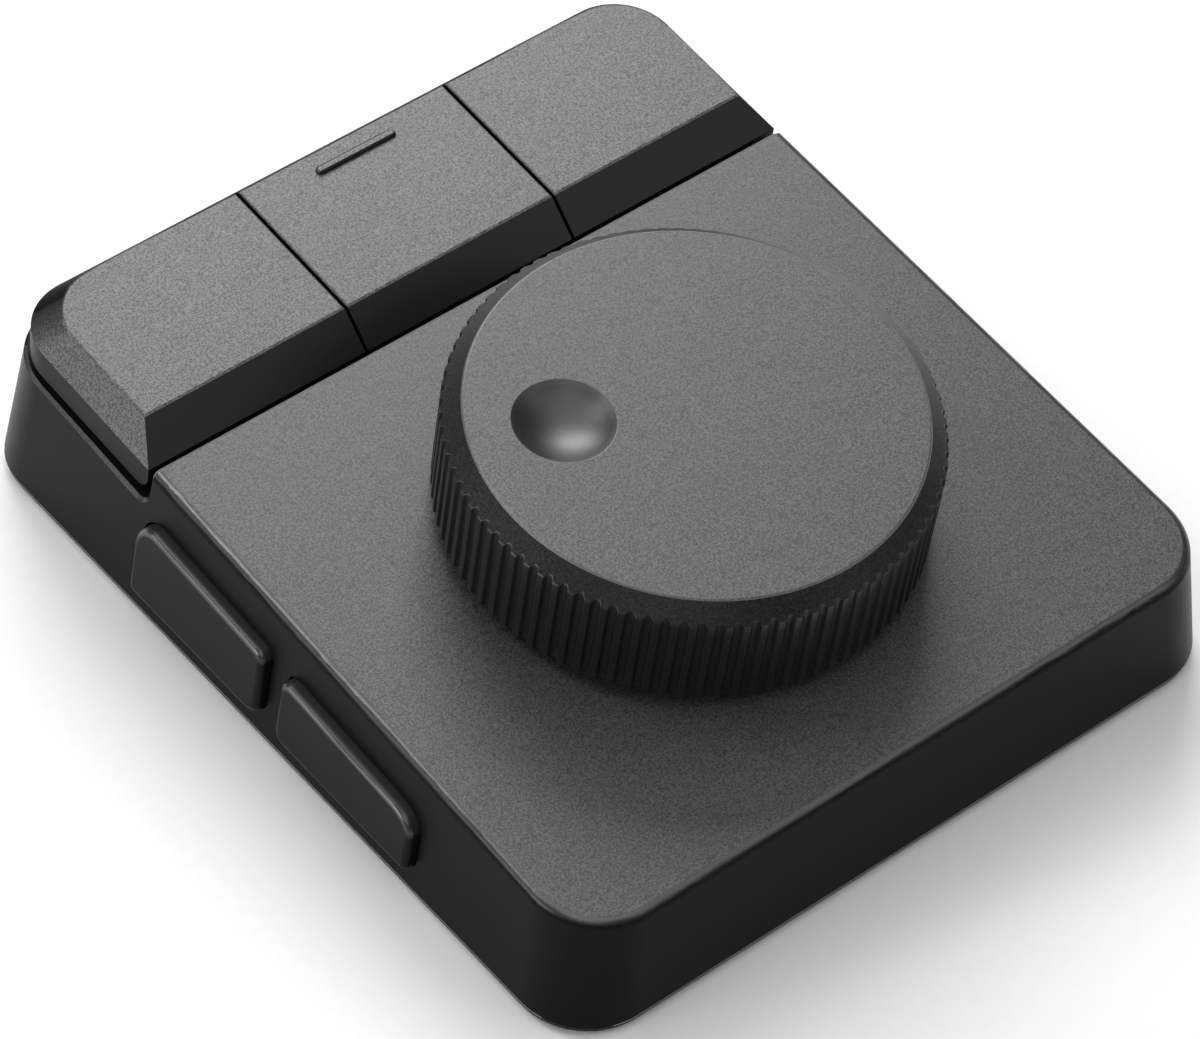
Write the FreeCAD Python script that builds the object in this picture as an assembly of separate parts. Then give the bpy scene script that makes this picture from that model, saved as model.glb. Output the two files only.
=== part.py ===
import FreeCAD, Part
import math
import os

# Desk controller with one large dial, three wide keys and two side buttons. Millimetres.
#
# Base frame: +Z up, +Y to the rear, origin at the centre of the face that it rests on.
# Deck frame: the sloping top plane. Origin where the dial's axis meets that plane, z along its normal.

V = FreeCAD.Vector
X_AXIS, Y_AXIS, Z_AXIS = V(1, 0, 0), V(0, 1, 0), V(0, 0, 1)
BIG = 200.0                    # larger than anything here, for cutting tools
BURY = 0.3                     # how far a rib, leg or boss is sunk into the piece that it grows from
TOUCH = 0.01                   # points closer than this count as the same place

# ---- body ----------------------------------------------------------------------------------------
BODY_WIDTH = 84.8              # outline at the body's lower edge
BODY_LENGTH = 97.4
BODY_CORNER_R = 7.9
WALL_DRAFT = 6.2               # lean of the outside walls, degrees
WALL = 2.0
PAD_PROUD = 0.6                # the pad stands this far out of the bottom cover
COVER_EDGE = 0.6               # edge of the bottom cover that shows below the wall
COVER_INSET = 0.25             # shadow line between wall and cover
COVER_FLOOR = 1.6
COVER_FIT = 0.15               # clearance of the cover's floor inside the wall
COVER_FOOT_CHAMFER = 0.3
WALL_FOOT_CHAMFER = 0.2

# ---- deck ----------------------------------------------------------------------------------------
DECK_TILT = 4.2                # degrees, rising to the rear
DECK_HEIGHT = 17.0             # at the dial's axis, above the body's lower edge
DECK_THICKNESS = 2.0
DECK_EDGE_R = 1.1
RIB_WIDTH, RIB_DEPTH = 1.2, 2.4
RIB_FROM_AXIS = 9.0            # the four ribs under the deck frame the encoder at this distance

# ---- key bay, deck frame -------------------------------------------------------------------------
BAY_DROP = 5.0                 # the ledge that runs round the keys lies this far below the deck
BAY_FLOOR = 1.8
BAY_STEP_WALL = 1.8
BAY_STEP_R = 1.6
BAY_LIP = 0.35                 # chamfer on the bay's outside edge

# ---- keys, deck frame ----------------------------------------------------------------------------
KEY_NAMES = ("left", "middle", "right")
KEY_TRAVEL = 0.8
KEY_SIDE_SETBACK = 2.2         # from the body's outline at its lower edge to the skirts
KEY_REAR_SETBACK = 3.23
KEY_FRONT_GAP = 0.65           # from the deck's rear edge to the skirts
KEY_BAR_DEPTH = 24.12
KEY_SKIRT_R = 6.5              # rear corners
KEY_TOP_R = 6.2                # rear corners of the top faces
KEY_SKIRT_LIFT = 1.0           # from the ledge to the skirts at rest
KEY_SHOULDER_DROP = 0.6        # where the skirt turns into the slopes, below the deck
KEY_TOP_RISE = 2.5             # top faces above the deck
KEY_FRONT_RUN = 3.85
KEY_SIDE_RUN = 2.2
KEY_GAP = 0.35
MIDDLE_KEY_WIDTH = 26.2
KEY_WALL = 1.5
KEY_HEEL_R = 1.9
KEY_EDGE = 0.15                # chamfer round the top faces
HOMING_LENGTH, HOMING_WIDTH, HOMING_HEIGHT, HOMING_EDGE = 10.0, 1.0, 0.45, 0.2
HOMING_FROM_REAR = 2.4         # from the top face's rear edge to the bar's middle
LEG_SPACING = 16.0
LEG_WIDTH, LEG_THICKNESS = 3.0, 1.4
LEG_HOOK = 0.7
LEG_HOOK_HEIGHT = 1.2
LEG_CLEARANCE = 0.25
LEG_AHEAD_OF_STEM = 5.5
LEG_GAP = 0.1                  # from the hooks to the bay floor at rest
LEG_TO_BOARD = 0.4             # left below the hooks when a key is down
STEM_SIDE = 3.6                # square, as the switch's tip is
STEM_CLEARANCE = 0.4

# ---- dial, deck frame ----------------------------------------------------------------------------
DIAL_R = 24.75
DIAL_TO_BAY = 7.75             # from the dial's edge to the deck's rear edge
DIAL_TOP = 14.85               # above the deck
DIAL_GAP = 1.65                # below the dial
DIAL_FLAT_R = 22.6
DIAL_CHAMFER_DROP = 1.95
DIAL_BEVEL = 0.22
DIAL_WALL = 3.2
DIAL_ROOF = 3.2
DIAL_TRAVEL = 0.5
FLUTES = 90
FLUTE_WIDTH, FLUTE_DEPTH = 0.76, 0.42
DIMPLE_R = 5.05
DIMPLE_DEPTH = 1.8
DIMPLE_FROM_AXIS = 13.1
DIMPLE_ANGLE = 151.5           # degrees from +X, anticlockwise
HUB_THICKNESS = 2.0
HUB_BOSS_R = 5.5
HUB_FIT = 0.05
HUB_ARM_WIDTH = 9.0

# ---- encoder, deck frame -------------------------------------------------------------------------
SHAFT_R = 3.0
SHAFT_FLAT = 1.5               # depth of the flats
SHAFT_FIT = 0.05               # running clearance
BUSH_R = 3.5
BUSH_RISE = 4.8                # above the deck
BUSH_FLANGE = 1.2
BUSH_HOLE_CLEARANCE = 0.1
ENCODER_SIDE = 11.8
ROTOR_R = 4.5
ROTOR_HEIGHT = 3.0
ROTOR_CLEARANCE = 0.3
DRIVE_FLAT = 2.4               # half width across the shaft's two drive flats in the rotor
SHAFT_IN_ROTOR = 2.5
PLUNGER_R = 1.2
PLUNGER_LENGTH = 2.2
WASHER_R, WASHER_THICKNESS = 5.6, 0.5
NUT_FLATS, NUT_HEIGHT = 10.0, 2.0
HUB_TO_BUSH = 0.9              # at rest

# ---- board, deck frame ---------------------------------------------------------------------------
BOARD_THICKNESS = 1.2
BOARD_SIDE_GAP = 5.9           # from the board's edges to the walls' inside at the lower edge
BOARD_FRONT_GAP, BOARD_REAR_GAP = 8.0, 2.5
BOARD_CORNER_R = 1.5
BOARD_BOSS_R = 2.6
BOARD_SCREW_INSET = (8.5, 3.5)  # from the board's side and rear edges
BOARD_STOP_WIDTH, BOARD_STOP_LENGTH = 1.6, 8.0
BOARD_STOP_INSET = (5.0, 5.0)  # from the board's side and front edges
SCREW_R, SCREW_HEAD_R, SCREW_HEAD_HEIGHT = 0.95, 2.0, 1.0
SCREW_BITE = 3.4
SCREW_FIT = 0.05
TACT_SIDE, TACT_HEIGHT = 6.0, 2.0
TACT_TIP_SIDE = 2.8
TACT_TIP_RISE = 1.0            # above the switch body
TACT_TIP_INSIDE = 0.4
TIP_CLEARANCE = 0.1            # round and below every moving tip in its switch
SIDE_TACT_HEIGHT, SIDE_TACT_DEPTH = 3.4, 3.5
SIDE_TIP_WIDTH, SIDE_TIP_HEIGHT, SIDE_TIP_REACH, SIDE_TIP_INSIDE = 2.4, 1.4, 1.4, 0.6
CHIP_SIDE, CHIP_HEIGHT, CHIP_PLACE = 7.0, 0.9, (-16.0, -14.0)
SHIELD_SIZE, SHIELD_PLACE = (14.0, 12.0, 2.2), (17.0, -14.0)
SHIELD_WALL = 0.3
CONNECTOR_SIZE = (6.0, 4.5, 2.4)
CONNECTOR_FROM_BATTERY, CONNECTOR_Y = 3.0, 34.0

# ---- sockets in the rear wall, deck frame --------------------------------------------------------
USB_WIDTH, USB_HEIGHT, USB_LENGTH = 8.94, 3.16, 7.3
USB_WALL = 0.3
USB_BACK = 0.8
USB_SUNK = 0.9                 # the socket's floor lies this far below the board's top
USB_CLEARANCE = 0.3
USB_TONGUE_WIDTH, USB_TONGUE_HEIGHT, USB_TONGUE_SETBACK = 6.7, 0.7, 0.9
USB_TONGUE_R = 0.25
USB_NOTCH_DEPTH = 5.0
PORT_SETBACK = 2.0             # from the body's rear edge to the mouth of the socket
POWER_TO_SCREW = 9.5           # from the middle of the slide switch to the screw beside it
POWER_BODY = (8.0, 3.0, 2.1)
POWER_TRAVEL = 2.0
POWER_NECK = (1.6, 1.2)        # width and height of the lever behind the wall
POWER_GRIP = (3.4, 2.0)        # width and height of the grip in the wall
POWER_CLEARANCE = 0.3
POWER_GRIP_DEPTH = 1.8
POWER_GROOVES, POWER_GROOVE_PITCH, POWER_GROOVE_WIDTH, POWER_GROOVE_DEPTH = 3, 0.85, 0.42, 0.3
POWER_PROUD = 0.5              # the grip stands this far past the mouth of the socket
POWER_BACK = 1.2               # solid rear of the switch body
POWER_SLOT_R = 0.4

# ---- side buttons, base frame (heights above the body's lower edge) ------------------------------
SIDE_NAMES = ("rear", "front")
SIDE_TRAVEL = 0.5
SIDE_LENGTH = 20.8
SIDE_BRIDGE = 2.9              # wall between the two
SIDE_MIDDLE_Y = -1.55          # middle of that bridge
SIDE_LOW = 3.9
SIDE_BELOW_DECK = 4.5          # from the deck's height at the dial's axis
SIDE_PROUD = 1.3
SIDE_END_FLAT = 0.3            # half of the straight part of a button's rounder end
SIDE_INNER_R = 1.4
SIDE_EDGE = 0.4                 # chamfer round the outer face
SIDE_CLEARANCE = 0.2
SIDE_TAB = 0.9                 # the tabs behind the wall reach this far past the button's ends
SIDE_TAB_THICKNESS = 1.0
SIDE_TAB_INSET = 1.5           # from the button's upper and lower edges
SIDE_TAB_GAP = 0.15
SIDE_STEM = (5.0, 2.6)

# ---- base ----------------------------------------------------------------------------------------
PAD_INSET, PAD_THICKNESS, PAD_CORNER_R = 4.0, 1.0, 3.0
COVER_POST_R = 3.2
COVER_SCREW_INSET = 7.2        # from the body's outline at its lower edge
COVER_BOSS_HEIGHT = 1.2
COVER_HOOK_X, COVER_HOOK_WIDTH, COVER_HOOK_THICKNESS = 26.0, 8.0, 1.4
COVER_HOOK_RISE, COVER_NOSE_HEIGHT, COVER_NOSE = 4.2, 1.2, 0.9
COVER_SCREW_LENGTH = 7.0
POST_NOTCH_CLEARANCE = 0.6     # round the posts in the board
SCREW_HEAD_CLEARANCE = 0.2
SCREW_HEAD_DROP = 0.15         # heads lie this deep above the pad's seat
PAD_FIT = 0.1
BALLAST_WIDTH, BALLAST_DEPTH, BALLAST_Y = 50.0, 32.0, -18.0
BALLAST_HEADROOM = 0.6         # below the board
BATTERY_WIDTH, BATTERY_DEPTH, BATTERY_Y = 40.0, 32.0, 21.5
BATTERY_HEADROOM = 0.8         # below the board
TRAY_GAP, TRAY_WALL, TRAY_HEIGHT = 0.3, 1.0, 2.6

# ---- places that follow from the sizes above -----------------------------------------------------
BODY_Z = PAD_PROUD
WALL_Z = BODY_Z + COVER_EDGE
COVER_TOP_Z = BODY_Z + COVER_FLOOR
DRAFT_SLOPE = math.tan(math.radians(WALL_DRAFT))
BAY_Y = DIAL_R + DIAL_TO_BAY                       # rear edge of the deck
KEY_FRONT_Y = BAY_Y + KEY_FRONT_GAP
KEY_REAR_Y = KEY_FRONT_Y + KEY_BAR_DEPTH
BODY_REAR_Y = KEY_REAR_Y + KEY_REAR_SETBACK
BODY_FRONT_Y = BODY_REAR_Y - BODY_LENGTH
DECK_ORIGIN = V(0, BODY_LENGTH / 2 - BODY_REAR_Y, BODY_Z + DECK_HEIGHT)
DECK = FreeCAD.Placement(DECK_ORIGIN, FreeCAD.Rotation(X_AXIS, DECK_TILT))

DECK_UNDER = -DECK_THICKNESS
BAY_Z = -BAY_DROP
BAY_UNDER = BAY_Z - BAY_FLOOR
ROOF_Z = BODY_Z + DECK_HEIGHT + BAY_Y / 2          # above the whole sloping deck
BOARD_TOP = BAY_UNDER - LEG_GAP - LEG_HOOK_HEIGHT - KEY_TRAVEL - LEG_TO_BOARD
BOARD_UNDER = BOARD_TOP - BOARD_THICKNESS
CONNECTOR_X = BATTERY_WIDTH / 2 + CONNECTOR_FROM_BATTERY + CONNECTOR_SIZE[0] / 2
BOARD_HALF_WIDTH = BODY_WIDTH / 2 - WALL - BOARD_SIDE_GAP
BOARD_FRONT_Y = BODY_FRONT_Y + WALL + BOARD_FRONT_GAP
BOARD_REAR_Y = BODY_REAR_Y - WALL - BOARD_REAR_GAP
BOARD_SCREW_X, BOARD_SCREW_Y = BOARD_HALF_WIDTH - BOARD_SCREW_INSET[0], BOARD_REAR_Y - BOARD_SCREW_INSET[1]
PORT_FACE_Y = BODY_REAR_Y - PORT_SETBACK
POWER_X = BOARD_SCREW_X - POWER_TO_SCREW
KEY_SKIRT_Z = BAY_Z + KEY_SKIRT_LIFT
KEY_HALF = BODY_WIDTH / 2 - KEY_SIDE_SETBACK
KEY_SPLIT = (MIDDLE_KEY_WIDTH + KEY_GAP) / 2
TACT_TOP = BOARD_TOP + TACT_HEIGHT
STEM_END = TACT_TOP + TACT_TIP_RISE
TACT_Y = (KEY_FRONT_Y + KEY_REAR_Y) / 2
BUSH_UNDER = DECK_UNDER - BUSH_FLANGE
ROTOR_TOP = BUSH_UNDER - ROTOR_CLEARANCE
ROTOR_UNDER = ROTOR_TOP - ROTOR_HEIGHT
SHAFT_END = ROTOR_TOP - SHAFT_IN_ROTOR
PLUNGER_END = SHAFT_END - PLUNGER_LENGTH
DIAL_CEILING = DIAL_TOP - DIAL_ROOF
HUB_END = BUSH_RISE + HUB_TO_BUSH
SHAFT_TOP = DIAL_CEILING - HUB_FIT
SIDE_HIGH = DECK_HEIGHT - SIDE_BELOW_DECK
SIDE_OUTER_R = (SIDE_HIGH - SIDE_LOW) / 2 - SIDE_END_FLAT
SIDE_TAB_X = BODY_WIDTH / 2 - DRAFT_SLOPE * SIDE_HIGH - WALL - SIDE_TAB_GAP
SIDE_TIP_X = BOARD_HALF_WIDTH + SIDE_TIP_REACH
SIDE_TACT_Z = BOARD_TOP + SIDE_TACT_HEIGHT / 2
PAD_SEAT_Z = PAD_THICKNESS
COVER_BOSS_Z = COVER_TOP_Z + COVER_BOSS_HEIGHT
SCREW_SEAT_Z = PAD_SEAT_Z + SCREW_HEAD_DROP + SCREW_HEAD_HEIGHT
USB_Z = BOARD_TOP - USB_SUNK
POWER_Z = BOARD_TOP + POWER_BODY[2] / 2


# ---- drawing helpers -----------------------------------------------------------------------------
def box(x0, x1, y0, y1, z0, z1):
    return Part.makeBox(x1 - x0, y1 - y0, z1 - z0, V(x0, y0, z0))


def slab(size, place, z0):
    """A box of size (x, y, z) centred on place, standing on z0."""
    return box(place[0] - size[0] / 2, place[0] + size[0] / 2,
               place[1] - size[1] / 2, place[1] + size[1] / 2, z0, z0 + size[2])


def post(x, y, z0, z1, r):
    return Part.makeCylinder(r, z1 - z0, V(x, y, z0))


def square_post(x, y, z0, z1, side):
    return slab((side, side, z1 - z0), (x, y), z0)


def rounded_outline(x0, x1, y0, y1, z, r_front, r_rear):
    """A closed wire at height z. Front and rear corners have their own radii; 0 gives a sharp corner."""
    corners = ((x0, y0, r_front), (x1, y0, r_front), (x1, y1, r_rear), (x0, y1, r_rear))
    leaving = (X_AXIS, Y_AXIS, X_AXIS * -1, Y_AXIS * -1)
    turns = []
    for i, (x, y, r) in enumerate(corners):
        tip, before, after = V(x, y, z), leaving[i - 1], leaving[i]
        bulge = (after - before) * (r * (1 - math.sqrt(0.5)))
        turns.append((tip - before * r, tip + bulge, tip + after * r, r))
    edges = []
    for i, (start, middle, end, r) in enumerate(turns):
        if r > 0:
            edges.append(Part.Arc(start, middle, end).toShape())
        edges.append(Part.LineSegment(end, turns[(i + 1) % 4][0]).toShape())
    return Part.Wire(edges)


def plate(x0, x1, y0, y1, z0, z1, r):
    """A flat plate with four equal round corners."""
    face = Part.Face(rounded_outline(x0, x1, y0, y1, z0, r, r))
    return face.extrude(V(0, 0, z1 - z0))


def bar_along_y(x, width, z0, height, y0, y1, r):
    """A bar along Y with a rounded section, centred on x and standing on z0."""
    bar = plate(x - width / 2, x + width / 2, 0, height, 0, y1 - y0, r)
    bar.rotate(V(0, 0, 0), X_AXIS, 90)
    bar.translate(V(0, y1, z0))
    return bar


def join(shapes):
    first, rest = shapes[0], shapes[1:]
    return first.fuse(rest).removeSplitter()


def edges_where(shape, test):
    """Edges whose ends and middle all pass the test."""
    found = []
    for edge in shape.Edges:
        marks = [edge.valueAt(edge.FirstParameter + t * (edge.LastParameter - edge.FirstParameter))
                 for t in (0.0, 0.5, 1.0)]
        if all(test(p) for p in marks):
            found.append(edge)
    return found


def on_deck(shape):
    """From the deck frame to the base frame."""
    placed = shape.copy()
    placed.Placement = DECK.multiply(placed.Placement)
    return placed


def to_deck(point):
    return DECK.inverse().multVec(point)


# ---- body ----------------------------------------------------------------------------------------
def body_outline(z, inset):
    """The body's drafted outline at a height in the base frame, moved inwards by inset."""
    lean = DRAFT_SLOPE * (z - BODY_Z) + inset
    half_x, half_y = BODY_WIDTH / 2 - lean, BODY_LENGTH / 2 - lean
    r = BODY_CORNER_R - inset
    return rounded_outline(-half_x, half_x, -half_y, half_y, z, r, r)


def rear_wall_y(z):
    """Inside of the rear wall at a height in the base frame."""
    return BODY_LENGTH / 2 - DRAFT_SLOPE * (z - BODY_Z) - WALL


def cover_hooks(grow):
    """Noses of the cover's hooks, grown by a clearance to cut their pockets in the rear wall."""
    top = COVER_TOP_Z + COVER_HOOK_RISE
    nose_z = top - COVER_NOSE_HEIGHT
    wall = rear_wall_y(top)
    half = COVER_HOOK_WIDTH / 2 + grow
    return [box(x - half, x + half, wall - COVER_FIT, wall + COVER_NOSE + grow, nose_z - grow, top + grow)
            for x in (-COVER_HOOK_X, COVER_HOOK_X)]


def cover_hook_stems():
    top = COVER_TOP_Z + COVER_HOOK_RISE
    rear = rear_wall_y(top) - COVER_FIT
    size = (COVER_HOOK_WIDTH, COVER_HOOK_THICKNESS, COVER_HOOK_RISE + BURY)
    return [slab(size, (x, rear - COVER_HOOK_THICKNESS / 2), COVER_TOP_Z - BURY)
            for x in (-COVER_HOOK_X, COVER_HOOK_X)]


def drafted_block(z0, z1, inset):
    return Part.makeLoft([body_outline(z0, inset), body_outline(z1, inset)], True, True)


def chamfered_block(z0, z1, inset, chamfer):
    """A drafted block whose lower edge is chamfered."""
    foot = Part.makeLoft([body_outline(z0, inset + chamfer), body_outline(z0 + chamfer, inset)], True, True)
    return join([foot, drafted_block(z0 + chamfer, z1, inset)])


def above_deck(deck_z, step_y, bay_z, step_r):
    """Everything above the deck and above the lower bay behind step_y, in the base frame."""
    corner = V(0, step_y, bay_z)
    arc_top, arc_end = corner + V(0, 0, step_r), corner + V(0, step_r, 0)
    arc_mid = corner + V(0, 1, 1) * (step_r * (1 - math.sqrt(0.5)))
    edges = [Part.LineSegment(V(0, -BIG, deck_z), V(0, step_y, deck_z)).toShape(),
             Part.LineSegment(V(0, step_y, deck_z), arc_top).toShape(),
             Part.Arc(arc_top, arc_mid, arc_end).toShape(),
             Part.LineSegment(arc_end, V(0, BIG, bay_z)).toShape(),
             Part.LineSegment(V(0, BIG, bay_z), V(0, BIG, BIG)).toShape(),
             Part.LineSegment(V(0, BIG, BIG), V(0, -BIG, BIG)).toShape(),
             Part.LineSegment(V(0, -BIG, BIG), V(0, -BIG, deck_z)).toShape()]
    tool = Part.Face(Part.Wire(edges)).extrude(V(BIG, 0, 0))
    tool.translate(V(-BIG / 2, 0, 0))
    return on_deck(tool)


def key_middle_x(name):
    bar_half = (KEY_HALF + KEY_SPLIT + KEY_GAP / 2) / 2
    return {"left": -bar_half, "middle": 0.0, "right": bar_half}[name]


def leg_places(name):
    x = key_middle_x(name)
    y = TACT_Y - LEG_AHEAD_OF_STEM
    return [(x - LEG_SPACING / 2, y), (x + LEG_SPACING / 2, y)]


def board_screw_places():
    return [(-BOARD_SCREW_X, BOARD_SCREW_Y), (BOARD_SCREW_X, BOARD_SCREW_Y)]


def cover_screw_places():
    """Two screws at the front. At the rear the cover hooks into the wall."""
    x, y = BODY_WIDTH / 2 - COVER_SCREW_INSET, BODY_LENGTH / 2 - COVER_SCREW_INSET
    return [(-x, -y), (x, -y)]


def side_span(name):
    """The y range of a side button in the base frame."""
    if name == "rear":
        low = SIDE_MIDDLE_Y + SIDE_BRIDGE / 2
        return low, low + SIDE_LENGTH
    high = SIDE_MIDDLE_Y - SIDE_BRIDGE / 2
    return high - SIDE_LENGTH, high


def side_prism(name, x0, x1, grow):
    """A side button's outline between two x planes, grown all round by grow."""
    y0, y1 = side_span(name)
    r_rear = SIDE_OUTER_R if name == "rear" else SIDE_INNER_R
    r_front = SIDE_INNER_R if name == "rear" else SIDE_OUTER_R
    z0, z1 = BODY_Z + SIDE_LOW - grow, BODY_Z + SIDE_HIGH + grow
    wire = rounded_outline(z0, z1, y0 - grow, y1 + grow, 0, r_front + grow, r_rear + grow)
    prism = Part.Face(wire).extrude(V(0, 0, x1 - x0))
    # turn the sketch's x into height and its z into -x
    prism.rotate(V(0, 0, 0), Y_AXIS, -90)
    prism.translate(V(x1, 0, 0))
    return prism


def housing_shell():
    outer = chamfered_block(WALL_Z, ROOF_Z, 0, WALL_FOOT_CHAMFER)
    outer = outer.cut(on_deck(box(-BIG, BIG, -BIG, BIG, 0, BIG)))
    rim = edges_where(outer, lambda p: abs(to_deck(p).z) < TOUCH)
    outer = outer.makeFillet(DECK_EDGE_R, rim)
    outer = outer.cut(above_deck(BIG / 2, BAY_Y, BAY_Z, BAY_STEP_R))
    inner = drafted_block(WALL_Z - 1, ROOF_Z, WALL)
    inner = inner.cut(above_deck(DECK_UNDER, BAY_Y - BAY_STEP_WALL, BAY_UNDER, BAY_STEP_R))
    shell = outer.cut(inner)
    return shell.makeChamfer(BAY_LIP, bay_lip_edges(shell))


def bay_lip_edges(shell):
    """The outside edge of the key bay: along the ledge, up both steps and across the deck's rear edge."""
    def behind_deck(point):
        place = to_deck(point)
        return place.y > BAY_Y - TOUCH and place.z > BAY_Z - TOUCH

    def across_floor(edge):
        middle = to_deck(edge.CenterOfMass)
        return abs(middle.x) < TOUCH and middle.z < -TOUCH and middle.y < BAY_Y + BAY_STEP_R + TOUCH

    return [edge for edge in edges_where(shell, behind_deck) if not across_floor(edge)]


def deck_ribs():
    """Four ribs under the deck that frame the encoder and reach as far as the dial does."""
    z0, z1 = DECK_UNDER - RIB_DEPTH, DECK_UNDER + BURY
    near, far = RIB_FROM_AXIS - RIB_WIDTH / 2, RIB_FROM_AXIS + RIB_WIDTH / 2
    ribs = []
    for i in range(4):
        rib = box(-DIAL_R, DIAL_R, near, far, z0, z1)
        rib.rotate(V(0, 0, 0), Z_AXIS, i * 90)
        ribs.append(rib)
    return ribs


def board_bosses():
    """Two bosses for the screws at the rear and two stops above the board's front corners."""
    bosses = [post(x, y, BOARD_TOP, BAY_UNDER + BURY, BOARD_BOSS_R) for x, y in board_screw_places()]
    stop_x, stop_y = BOARD_HALF_WIDTH - BOARD_STOP_INSET[0], BOARD_FRONT_Y + BOARD_STOP_INSET[1]
    stop = (BOARD_STOP_WIDTH, BOARD_STOP_LENGTH, DECK_UNDER + BURY - BOARD_TOP)
    return bosses + [slab(stop, (side * stop_x, stop_y), BOARD_TOP) for side in (-1, 1)]


def cover_posts():
    """Posts from the bottom cover up to the deck and the bay floor, in the base frame."""
    below_roof = above_deck(DECK_UNDER + BURY, BAY_Y, BAY_UNDER + BURY, BAY_STEP_R)
    return [post(x, y, COVER_BOSS_Z, ROOF_Z, COVER_POST_R).cut(below_roof)
            for x, y in cover_screw_places()]


def housing_holes():
    """Everything that is cut out of the housing, in the base frame."""
    holes = [post(0, 0, DECK_UNDER - 1, 1, BUSH_R + BUSH_HOLE_CLEARANCE)]
    for name in KEY_NAMES:
        holes.append(square_post(key_middle_x(name), TACT_Y, BAY_UNDER - 1, BAY_Z + 1,
                                 STEM_SIDE + 2 * STEM_CLEARANCE))
        for x, y in leg_places(name):
            side, front = LEG_WIDTH / 2 + LEG_CLEARANCE, LEG_THICKNESS / 2 + LEG_CLEARANCE
            holes.append(box(x - side, x + side, y - front, y + front + LEG_HOOK, BAY_UNDER - 1, BAY_Z + 1))
    for x, y in board_screw_places():
        holes.append(post(x, y, BOARD_TOP - 1, BOARD_TOP + SCREW_BITE, SCREW_R + SCREW_FIT))
    usb_height = USB_HEIGHT + 2 * USB_CLEARANCE
    holes.append(bar_along_y(0, USB_WIDTH + 2 * USB_CLEARANCE, USB_Z - USB_CLEARANCE, usb_height,
                             PORT_FACE_Y - 2 * WALL, PORT_FACE_Y + 2 * WALL, usb_height / 2 - TOUCH))
    slot_height = POWER_GRIP[1] + 2 * POWER_CLEARANCE
    holes.append(bar_along_y(POWER_X, POWER_GRIP[0] + POWER_TRAVEL + 2 * POWER_CLEARANCE,
                             POWER_Z - slot_height / 2, slot_height,
                             PORT_FACE_Y - 2 * WALL, PORT_FACE_Y + 2 * WALL, POWER_SLOT_R))
    holes = [on_deck(hole) for hole in holes] + cover_hooks(COVER_FIT)
    for name in SIDE_NAMES:
        holes.append(side_prism(name, -BODY_WIDTH / 2 - WALL, -SIDE_TAB_X, SIDE_CLEARANCE))
    for x, y in cover_screw_places():
        holes.append(post(x, y, COVER_BOSS_Z - 1, SCREW_SEAT_Z + COVER_SCREW_LENGTH + 1, SCREW_R + SCREW_FIT))
    return holes


def upper_housing():
    growth = [on_deck(piece) for piece in deck_ribs() + board_bosses()] + cover_posts()
    return join([housing_shell()] + growth).cut(housing_holes())


# ---- keys ----------------------------------------------------------------------------------------
def key_bar(inset, drop, skirt_z):
    """The three keys as one block: upright skirts below slopes that meet the flat top."""
    shoulder_z, top_z = -KEY_SHOULDER_DROP - drop, KEY_TOP_RISE - drop
    half, front, rear = KEY_HALF - inset, KEY_FRONT_Y + inset, KEY_REAR_Y - inset
    shoulder = rounded_outline(-half, half, front, rear, shoulder_z, 0, KEY_SKIRT_R - inset)
    half, front, rear = half - KEY_SIDE_RUN, front + KEY_FRONT_RUN, rear - KEY_SIDE_RUN
    top = rounded_outline(-half, half, front, rear, top_z, 0, KEY_TOP_R - inset)
    skirt = Part.Face(shoulder).extrude(V(0, 0, skirt_z - shoulder_z))
    return join([skirt, Part.makeLoft([shoulder, top], True, True)])


def key_range(name, wall):
    """The x range of a key, moved in by wall where it meets its neighbour."""
    split = KEY_SPLIT - KEY_GAP / 2 - wall
    outer = KEY_SPLIT + KEY_GAP / 2 + wall
    return {"left": (-BIG, -outer), "middle": (-split, split), "right": (outer, BIG)}[name]


def key_cut(block, name, wall):
    x0, x1 = key_range(name, wall)
    return block.common(box(x0, x1, -BIG, BIG, -BIG / 2, BIG / 2))


def snap_leg(x, y, ceiling):
    hook_top = BAY_UNDER - LEG_GAP
    foot = hook_top - LEG_HOOK_HEIGHT
    side, front = LEG_WIDTH / 2, LEG_THICKNESS / 2
    leg = box(x - side, x + side, y - front, y + front, foot, ceiling + BURY)
    corners = [V(x - side, y, hook_top), V(x - side, y + front + LEG_HOOK, hook_top),
               V(x - side, y + front, foot), V(x - side, y, foot), V(x - side, y, hook_top)]
    hook = Part.Face(Part.makePolygon(corners)).extrude(V(LEG_WIDTH, 0, 0))
    return [leg, hook]


def homing_bar():
    y = KEY_REAR_Y - KEY_SIDE_RUN - HOMING_FROM_REAR
    half, r = HOMING_LENGTH / 2, HOMING_WIDTH / 2
    bar = plate(-half, half, y - r, y + r, KEY_TOP_RISE - BURY, KEY_TOP_RISE + HOMING_HEIGHT, r - TOUCH)
    crown = edges_where(bar, lambda p: p.z > KEY_TOP_RISE + HOMING_HEIGHT - TOUCH)
    return bar.makeChamfer(HOMING_EDGE, crown)


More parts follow.
